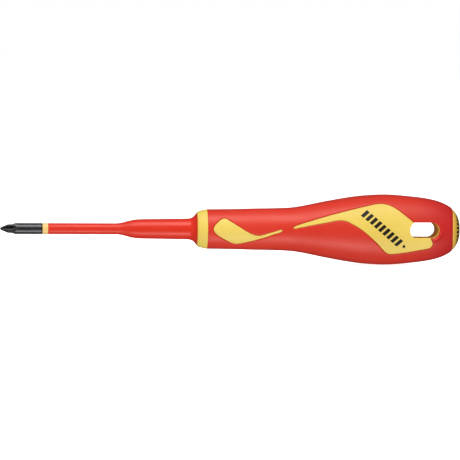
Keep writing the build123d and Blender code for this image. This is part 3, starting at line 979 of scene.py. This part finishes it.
# x, radius from the grip's front edge over the collar and into the bore
COLLAR_OUTER = open_spline(
    [(X_COLLAR + 0.12, 6.92), (X_COLLAR + 0.35, 7.06), (X_COLLAR + 1.55, 7.50),
     (X_COLLAR + 3.05, 7.88), (X_COLLAR + 3.6, 7.98), (X_GRIP - 0.34, 8.03)], 26)
COLLAR_ROWS = [
    (X_GRIP - 0.02, 6.98), (X_GRIP - 0.02, 7.88), (X_GRIP - 0.05, 7.95),
    (X_GRIP - 0.12, 8.005), (X_GRIP - 0.22, 8.035),
    *COLLAR_OUTER[::-1],
    (X_COLLAR + 0.04, 6.80), (X_COLLAR + 0.005, 6.70), (X_COLLAR, 6.60), (X_COLLAR, 4.75),
    (X_COLLAR + 0.1, 4.63), (88.0, 4.63)]
# x, radius of the seat for the end cap
CAP_SEAT_ROWS = [(X_BODY_END, 5.3), (X_BODY_END - 0.15, 5.16), (182.2, 5.16), (181.9, 5.5),
                 (181.2, 5.5), (180.6, 4.8)]


def build_body():
    """One skin from the collar to the cap seat: raised windows, sunk under the grip."""
    drop = (fillet(window_distance, width=0.44, depth=0.36)
            + fillet(slot_distance, width=0.36, depth=0.18))
    skin = sheet - sheet_normal * drop[:, None]
    wall = grip_wall(sheet_x[under_grip])[:, None]
    skin[under_grip] = sheet[under_grip] + inward[under_grip] * wall
    skin = both_halves(skin)
    half = triangles[~in_slot & (centre_x < X_BODY_END)]
    kept, welded = weld(skin, np.concatenate([half, half + len(sheet)]))
    skin = skin[kept]
    loops = boundary_loops(welded)
    front = min(loops, key=lambda loop: skin[loop][:, 0].max())
    rear = max(loops, key=lambda loop: skin[loop][:, 0].min())
    slot_loops = [loop for loop in loops if loop is not front and loop is not rear]
    points = [list(p) for p in skin]
    faces = [tuple(f) for f in welded]
    extend_loop(points, faces, front, COLLAR_ROWS)
    extend_loop(points, faces, rear, CAP_SEAT_ROWS)
    if len(slot_loops) == 2:                # one opening on each side of the handle
        bridge_slot(points, faces, *slot_loops)
    body = make_object("handle_body_skin", points, faces, BODY_YELLOW)
    # the wall of the slot takes the copy of the yellow with painted light
    body.data.materials.append(SLOT_LIT_YELLOW)
    for polygon in body.data.polygons:
        centre = polygon.center / MM
        if (abs(polygon.normal.y) < 0.30 and abs(centre.z) < SLOT_HALF_HEIGHT + 0.1
                and 166.0 < centre.x < X_REAR - 2):
            polygon.material_index = 1
    register(body, replaces="handle_body")


build_body()


# ------------------------------------------------------------------ insulation
def build_sleeve():
    """Red sleeve: slim, then a swell that flares out to the collar."""
    flare = open_spline(
        [(47.3, 2.252), (48.2, 2.335), (49.3, 2.53), (50.93, 2.95), (52.56, 3.38),
         (54.18, 3.70), (55.8, 3.88), (57.5, 3.95), (61, 4.02), (66, 4.09), (71, 4.17),
         (75, 4.225), (76.2, 4.265), (76.9, 4.35), (77.6, 4.60), (78.3, 4.98), (78.8, 5.48),
         (79.3, 6.06), (X_COLLAR - 0.07, 6.58)], 150)
    profile = [                             # x, radius: outside, then the rear end and bore
        (X_RED, 1.97), (X_RED, 2.17), (X_RED + 0.03, 2.225), (X_RED + 0.09, SLIM_R),
        *[(x, SLIM_R) for x in np.linspace(X_RED + 0.6, 46.9, 40)],
        *flare,
        (X_COLLAR - 0.03, 6.60), (X_COLLAR - 0.02, 6.56), (X_COLLAR - 0.02, 4.60),
        (88.0, 4.60), (88.0, 4.1), (89.6, 4.1), (89.6, 4.6), (95.0, 4.6), (95.6, 4.0),
        (95.6, 3.17), (92.0, 3.17), (54.0, 3.07), (48.4, 1.97)]
    sleeve = make_object("red_sleeve", *lathe(profile, 144), SLEEVE_RED)
    register(sleeve, replaces="outer_sleeve")


def build_underlayer():
    """Yellow layer under the sleeve; it shows as a ring at the sleeve's front end."""
    profile = [                             # x, radius: ring, outside under the sleeve, bore
        (X_RING, 1.57), (X_RING, 2.15), (X_RING + 0.03, 2.215), (X_RING + 0.10, 2.245),
        *[(x, SLIM_R) for x in np.linspace(X_RING + 0.4, X_RED - 0.42, 8)],
        (X_RED - 0.12, 2.245), (X_RED - 0.05, 2.215), (X_RED - 0.02, 2.15),
        (X_RED - 0.02, 1.95), (48.4, 1.95), (54.0, 3.05), (92.0, 3.15), (98.0, 3.15),
        (98.0, 2.75), (99.6, 2.75), (99.6, 3.15), (101.6, 3.15), (101.6, 2.75),
        (103.2, 2.75), (103.2, 3.15), (105.4, 3.15), (106.0, 2.6), (106.0, 2.27),
        (52.0, 2.27), (49.0, 1.57)]
    underlayer = make_object("yellow_underlayer", *lathe(profile, 128), RING_YELLOW)
    register(underlayer, replaces="inner_sleeve")


build_sleeve()
build_underlayer()

# ------------------------------------------------------------------ blade
BLADE_SEGMENTS = 288
FLUTE_TURN = math.radians(20.0)             # of the four flutes about X
FLUTE_HALF_ANGLE = math.radians(44.0)
CONE_R, CONE_SLOPE = 0.45, math.tan(math.radians(24.5))
WING_R, WING_SWELL = 1.86, 0.04             # wing radius and its growth towards the shank
FLUTE_END = 6.85
TIP_ROWS = [(0.0, 0.36), (0.02, 0.40), (0.06, 0.44), (0.10, 0.47)]   # x, radius
# x, distance of the flute's root line from the axis
FLUTE_ROOT = np.array([(-0.5, 0.22), (1.5, 0.30), (3.3, 0.40), (4.4, 0.50), (5.0, 0.85),
                       (5.6, 1.32), (6.2, 1.88), (6.75, 2.35), (7.1, 2.7)])
# x, radius: the hidden rear part of the blade
BLADE_TAIL = [(X_RING - 0.02, 1.55), (49.0, 1.55), (52.0, 2.25), (139.4, 2.25),
              (140.0, 1.65), (140.0, 0.0)]


def smooth_min(a, b, blend):
    h = np.clip(0.5 + 0.5 * (b - a) / blend, 0, 1)
    return b * (1 - h) + a * h - blend * h * (1 - h)


def smoothed_flute_root():
    """x and root distance of the flutes, with the corners of FLUTE_ROOT smoothed."""
    reach, sigma = 40, 13.0                 # samples
    x = np.linspace(-0.5, 7.1, 800)
    root = np.interp(x, FLUTE_ROOT[:, 0], FLUTE_ROOT[:, 1])
    kernel = np.exp(-0.5 * (np.arange(-reach, reach + 1) / sigma) ** 2)
    padded = np.r_[np.full(reach, root[0]), root, np.full(reach, root[-1])]
    return x, np.convolve(padded, kernel / kernel.sum(), "valid")


def outer_radius(x):
    """Cone of the point, running into the wings and then the shank."""
    outer = (WING_R + WING_SWELL * np.clip((x - 3.1) / 1.6, 0, 1)
             + (SLIM_R - WING_R - WING_SWELL) * smooth_step((x - 4.85) / 1.4))
    return smooth_min(CONE_R + CONE_SLOPE * x, outer, 0.10)


def blade_profile():
    angles = np.arange(BLADE_SEGMENTS) * 2 * pi / BLADE_SEGMENTS
    root_x, root_distance = smoothed_flute_root()

    def flute_radius(x):
        """Distance from the axis to the nearest flute wall, at each angle."""
        nearest = np.full(BLADE_SEGMENTS, 6.0)
        for i in range(4):
            off = (angles - (FLUTE_TURN + i * pi / 2) + pi) % (2 * pi) - pi
            spread = np.cos(off) - np.abs(np.sin(off)) / math.tan(FLUTE_HALF_ANGLE)
            wall = np.interp(x, root_x, root_distance) / np.maximum(spread, 1e-3)
            nearest = np.minimum(nearest, np.where(spread > 1e-3, wall, 6.0))
        return nearest

    rows = list(TIP_ROWS)
    for x in np.r_[np.linspace(0.16, 7.0, 130), np.linspace(7.4, X_RING - 0.35, 22)]:
        rows.append((x, outer_radius(x)))
    rows += [(X_RING - 0.15, SLIM_R - 0.02), (X_RING - 0.06, SLIM_R - 0.06),
             (X_RING - 0.02, SLIM_R - 0.12)]
    profile = [(X_POINT, 0.0)]
    for x, radius in rows:
        if x <= FLUTE_END:
            radius = smooth_min(radius, flute_radius(x), 0.09 if x > 0.3 else 0.04)
        profile.append((X_POINT + x, radius))
    return profile + BLADE_TAIL


def fin(angle):
    """One radial fin at the hidden rear end of the blade."""
    half_thickness = 0.75
    outline = [(124, 1.6), (124, 2.0), (126, 3.6), (135, 3.6), (137, 2.0), (137, 1.6)]
    count = len(outline)
    points = []
    for side in (-half_thickness, half_thickness):
        for x, r in outline:
            points.append((x, -r * math.cos(angle) - side * math.sin(angle),
                           r * math.sin(angle) - side * math.cos(angle)))
    faces = [tuple(range(count)), tuple(range(2 * count - 1, count - 1, -1))]
    for i in range(count):
        j = (i + 1) % count
        faces.append((i, i + count, j + count, j))
    return points, faces


def build_blade():
    fins = [fin(math.radians(45 + 90 * i)) for i in range(4)]
    points, faces = join(lathe(blade_profile(), BLADE_SEGMENTS), *fins)
    blade = make_object("blade_steel_body", points, faces, STEEL, sharp_angle=32)
    register(blade, replaces="blade")


build_blade()

# ------------------------------------------------------------------ end cap
# x, radius of the dome, ending on the axis
DOME = open_spline([(X_REAR + 0.03, 8.29), (X_REAR + 0.40, 8.11), (X_REAR + 1.20, 7.22),
                    (X_REAR + 2.01, 5.93), (X_REAR + 2.70, 4.20), (X_REAR + 3.05, 2.35),
                    (X_APEX, 0.0)], 60)
DOME[-1] = (X_APEX, 0.0)


def build_cap():
    profile = [                             # x, radius: plug, seat, rim, dome
        (180.9, 0.0), (180.9, 4.3), (181.2, 4.8), (181.4, 5.4), (181.75, 5.4), (182.05, 5.1),
        (183.22, 5.1), (183.22, 8.15), (183.26, 8.28), (183.34, 8.32), (X_REAR - 0.1, 8.33),
        *DOME]
    cap = make_object("end_cap_dome", *lathe(profile, 144), CAP_YELLOW)
    register(cap, replaces="end_cap")


build_cap()

# ------------------------------------------------------------------ print on the handle's sides
INK_LIFT = 0.025
BARS_START, BARS_END = np.array((146.5, 7.35)), np.array((161.8, -5.75))   # x, z
BAR_COUNT, BAR_WIDTH, BAR_HALF_HEIGHT, BAR_LEAN = 9, 1.4, 1.68, 0.25
DOT_CENTRE, DOT_R = np.array((163.2, -6.55)), 0.62


def side_film(outline, far, step=0.35, sink=0.03):
    """Thin film of ink on the outer form inside an (x, z) outline."""
    outline = np.array(outline, float)
    points = []
    for start, end in zip(outline, np.roll(outline, -1, 0)):
        count = max(1, int(np.linalg.norm(end - start) / step))
        points.extend(tuple(start + (end - start) * i / count) for i in range(count))
    border = len(points)
    edges = [(i, (i + 1) % border) for i in range(border)]
    low, high = outline.min(0), outline.max(0)
    grid_x, grid_z = np.meshgrid(np.arange(low[0] + step / 2, high[0], step),
                                 np.arange(low[1] + step / 2, high[1], step))
    grid_x, grid_z = grid_x.ravel(), grid_z.ravel()
    within = inside(np.array(points), grid_x, grid_z)
    points.extend(zip(grid_x[within], grid_z[within]))
    flat, faces = triangulate([(x - UNROLL_X, z) for x, z in points], edges, 1, 1e-6)
    x = flat[:, 0] + UNROLL_X
    theta = theta_at(x, flat[:, 1])
    surface = form_point(x, theta)
    normal = form_frame(x, theta)[0]
    top, bottom = surface + normal * INK_LIFT, surface - normal * sink
    if far:
        top, bottom = far_side(top), far_side(bottom)
    return closed_shell(top, bottom, faces)


def build_side_print():
    """A row of slanted bars and a dot, on both sides."""
    length = np.linalg.norm(BARS_END - BARS_START)
    along = (BARS_END - BARS_START) / length
    across = np.array((-along[1], along[0]))
    half_bar = along * BAR_WIDTH / 2
    marks = []
    for i in range(BAR_COUNT):
        centre = BARS_START + along * (i + 0.5) / BAR_COUNT * length
        low = centre - across * BAR_HALF_HEIGHT - along * BAR_LEAN
        high = centre + across * BAR_HALF_HEIGHT + along * BAR_LEAN
        marks.append([low - half_bar, low + half_bar, high + half_bar, high - half_bar])
    marks.append([DOT_CENTRE + DOT_R * np.array((math.cos(a), math.sin(a)))
                  for a in np.arange(16) * pi / 8])
    films = [side_film(mark, far) for mark in marks for far in (False, True)]
    register(make_object("printed_bars", *join(*films), INK))


build_side_print()


# ------------------------------------------------------------------ print on the end cap
def dome_x(radius):
    return np.interp(radius, DOME[::-1, 1], DOME[::-1, 0])


def dome_film(inner, outer, angle, half_angle, sink=0.04):
    """Thin film of ink on the dome, between two radii and about an angle."""
    start, end = angle - half_angle, angle + half_angle
    angle_steps = int((end - start) / math.radians(3))
    radius_steps = int((outer - inner) / 0.3)
    radius, turn = np.meshgrid(np.linspace(inner, outer, radius_steps + 1),
                               np.linspace(start, end, angle_steps + 1), indexing="ij")
    reach = 0.02
    slope = (dome_x(radius + reach) - dome_x(radius - reach)) / (2 * reach)
    normal_x = 1 / np.sqrt(1 + slope ** 2)
    normal_r = -slope * normal_x
    sheets = []
    for offset in (INK_LIFT, -sink):
        r = radius + normal_r * offset
        sheets.append(np.stack([dome_x(radius) + normal_x * offset, -r * np.cos(turn),
                                r * np.sin(turn)], -1).reshape(-1, 3))
    width = angle_steps + 1
    faces = []
    for i in range(radius_steps):
        for j in range(angle_steps):
            a = i * width + j
            c = a + width + 1
            faces += [(a, a + 1, c), (a, c, a + width)]
    return closed_shell(*sheets, np.array(faces))


def build_cap_print():
    """A ring of ticks round a diagonal cross."""
    ticks = [dome_film(4.7, 7.0, 2 * pi * (i + 0.5) / 24, math.radians(4.2))
             for i in range(24)]
    cross = [dome_film(0.75, 3.1, pi / 2 * i + pi / 4, math.radians(15)) for i in range(4)]
    register(make_object("printed_cap_ring", *join(*ticks, *cross), INK))


build_cap_print()

# ------------------------------------------------------------------ the hidden core keeps its CAD mesh
core = frame["nodes"]["handle_core"]
core.data.materials.clear()
core.data.materials.append(CORE_PLASTIC)

# ------------------------------------------------------------------ floor and world (metres from here on)
scene = bpy.context.scene


def build_floor(radius=12.0, centre_x=0.09, segments=64):
    """Pale disc under the lowest point, seen by the camera only."""
    floor_z = min(cad_lo.z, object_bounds()[0].z)
    mesh = bpy.data.meshes.new("floor")
    angles = [2 * pi * i / segments for i in range(segments)]
    mesh.from_pydata([(centre_x + radius * math.cos(a), radius * math.sin(a), floor_z)
                      for a in angles], [], [tuple(range(segments))])
    floor = bpy.data.objects.new("floor", mesh)
    scene.collection.objects.link(floor)
    material = bpy.data.materials.new("pale_floor")
    material.use_nodes = True
    tree = material.node_tree
    tree.nodes.clear()
    output = tree.nodes.new("ShaderNodeOutputMaterial")
    diffuse = tree.nodes.new("ShaderNodeBsdfDiffuse")
    feed(tree, diffuse.inputs["Color"], (0.9, 0.9, 0.9))
    glow = tree.nodes.new("ShaderNodeEmission")
    feed(tree, glow.inputs["Strength"], 0.80)
    both = tree.nodes.new("ShaderNodeAddShader")
    tree.links.new(diffuse.outputs[0], both.inputs[0])
    tree.links.new(glow.outputs[0], both.inputs[1])
    tree.links.new(both.outputs[0], output.inputs["Surface"])
    mesh.materials.append(material)
    floor.visible_glossy = False
    floor.visible_diffuse = False
    floor.visible_shadow = False
    floor.visible_transmission = False


def build_world(seen=1.0, fill=0.42, reflected=0.07):
    """White world with its own strength for the camera, for fill and in reflections."""
    world = bpy.data.worlds.new("studio")
    scene.world = world
    world.use_nodes = True
    tree = world.node_tree
    tree.nodes.clear()
    output = tree.nodes.new("ShaderNodeOutputWorld")
    rays = tree.nodes.new("ShaderNodeLightPath")

    def background(strength):
        node = tree.nodes.new("ShaderNodeBackground")
        feed_all(tree, node, {"Color": (1, 1, 1), "Strength": strength})
        return node.outputs[0]

    def choose(ray, otherwise, chosen):
        node = tree.nodes.new("ShaderNodeMixShader")
        tree.links.new(rays.outputs[ray], node.inputs["Fac"])
        tree.links.new(otherwise, node.inputs[1])
        tree.links.new(chosen, node.inputs[2])
        return node.outputs[0]

    unseen = choose("Is Glossy Ray", background(fill), background(reflected))
    surface = choose("Is Camera Ray", unseen, background(seen))
    tree.links.new(surface, output.inputs["Surface"])


build_floor()
build_world()

# ------------------------------------------------------------------ lights
TOOL_CENTRE = Vector(((X_POINT + X_APEX) / 2 * MM, 0, 0))


def area_light(name, elevation, distance, length, width, power, side=0.0, shift_x=0.0,
               glossy=True):
    """Rectangle facing the tool's centre, its long side along X. Elevation goes from -Y up
    over +Z, side goes from -Y towards +X, both in degrees; shift_x moves it unturned."""
    up, turn = math.radians(elevation), math.radians(side)
    direction = Vector((math.sin(turn) * math.cos(up), -math.cos(turn) * math.cos(up),
                        math.sin(up))).normalized()
    light = bpy.data.lights.new(name, "AREA")
    light.shape = "RECTANGLE"
    light.size = length
    light.size_y = width
    light.energy = power
    ob = bpy.data.objects.new(name, light)
    ob.location = TOOL_CENTRE + direction * distance + Vector((shift_x, 0, 0))
    ob.rotation_mode = "QUATERNION"
    x_axis = Vector((1, 0, 0)) - direction * direction.x
    x_axis.normalize()
    y_axis = direction.cross(x_axis)
    ob.rotation_quaternion = Matrix((x_axis, y_axis, direction)).transposed().to_quaternion()
    ob.visible_camera = False
    ob.visible_glossy = glossy
    scene.collection.objects.link(ob)


area_light("soft_top", elevation=63, distance=1.0, length=0.86, width=0.66, power=10.2,
           shift_x=-0.06)
area_light("soft_low", elevation=-55, distance=1.0, length=0.86, width=0.46, power=7.0)
area_light("soft_back", elevation=160, distance=1.6, length=1.2, width=0.6, power=7.0,
           shift_x=0.75, glossy=False)
area_light("soft_back_low", elevation=-160, distance=1.6, length=1.2, width=0.6, power=3.5,
           shift_x=0.75, glossy=False)
area_light("soft_left", elevation=8, side=-48, distance=1.2, length=0.45, width=0.45,
           power=1.7, glossy=False)


# ------------------------------------------------------------------ camera
def build_camera():
    """Long lens on the -Y side, slightly above and towards the blade's point."""
    turn, tilt, roll = math.radians(4.4), math.radians(1.8), math.radians(0.280)
    distance = 2.400
    target = Vector((0.0933310, 0.0, -0.00037726))
    forward = Vector((math.sin(turn) * math.cos(tilt), math.cos(turn) * math.cos(tilt),
                      -math.sin(tilt)))
    right = Vector((math.cos(turn), -math.sin(turn), 0.0))
    up = right.cross(forward)
    rolled_right = right * math.cos(roll) + up * math.sin(roll)
    rolled_up = -right * math.sin(roll) + up * math.cos(roll)
    data = bpy.data.cameras.new("camera")
    data.sensor_fit = "HORIZONTAL"
    data.sensor_width = 36.0
    data.lens = 462.658
    data.clip_start = 0.05
    data.clip_end = 60.0
    camera = bpy.data.objects.new("camera", data)
    scene.collection.objects.link(camera)
    scene.camera = camera
    camera.rotation_mode = "QUATERNION"
    axes = Matrix((rolled_right, rolled_up, -forward)).transposed()
    camera.rotation_quaternion = axes.to_quaternion()
    camera.location = target - forward * distance


build_camera()

scene.view_settings.view_transform = "Standard"
scene.view_settings.look = "None"
scene.view_settings.exposure = 0.0
scene.view_settings.gamma = 1.0
